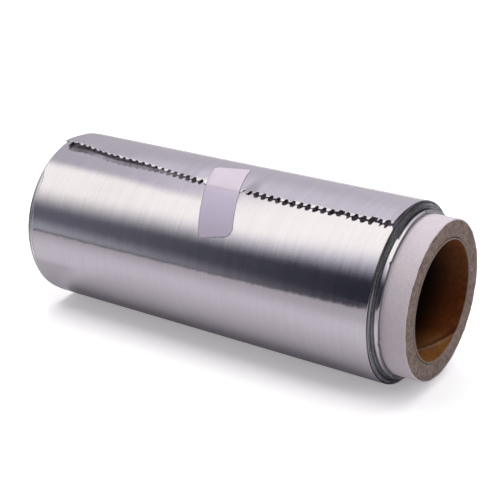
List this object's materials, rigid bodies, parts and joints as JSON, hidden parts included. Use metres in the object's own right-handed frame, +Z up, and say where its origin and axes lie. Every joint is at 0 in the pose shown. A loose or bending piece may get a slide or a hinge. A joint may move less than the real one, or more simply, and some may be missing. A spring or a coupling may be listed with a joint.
{
  "type": "aluminium foil roll",
  "caption": "Short roll of aluminium foil on a card core, its loose serrated end held down by a strip of frosted tape.",
  "frame": {"origin": "middle of the roll's box, on the surface that it lies on, straight below its axis", "axes": "+X along the roll's axis, towards the end where the core stands out; +Z up; -Y is the side that the loose end comes down on"},
  "size_m": [0.1298, 0.0528, 0.0533],
  "materials": {
    "foil": "bright rolled foil",
    "frosted_tape": "frosted translucent film",
    "white_paper": "uncoated white paper",
    "grey_board": "wound grey board, cut edge",
    "kraft_paper": "brown kraft paper"
  },
  "bodies": {
    "root": {"foil_roll": "foil", "tape_tab": "frosted_tape", "core_face_paper": "white_paper", "core_board": "grey_board", "core_liner": "kraft_paper"}
  },
  "joints": []
}
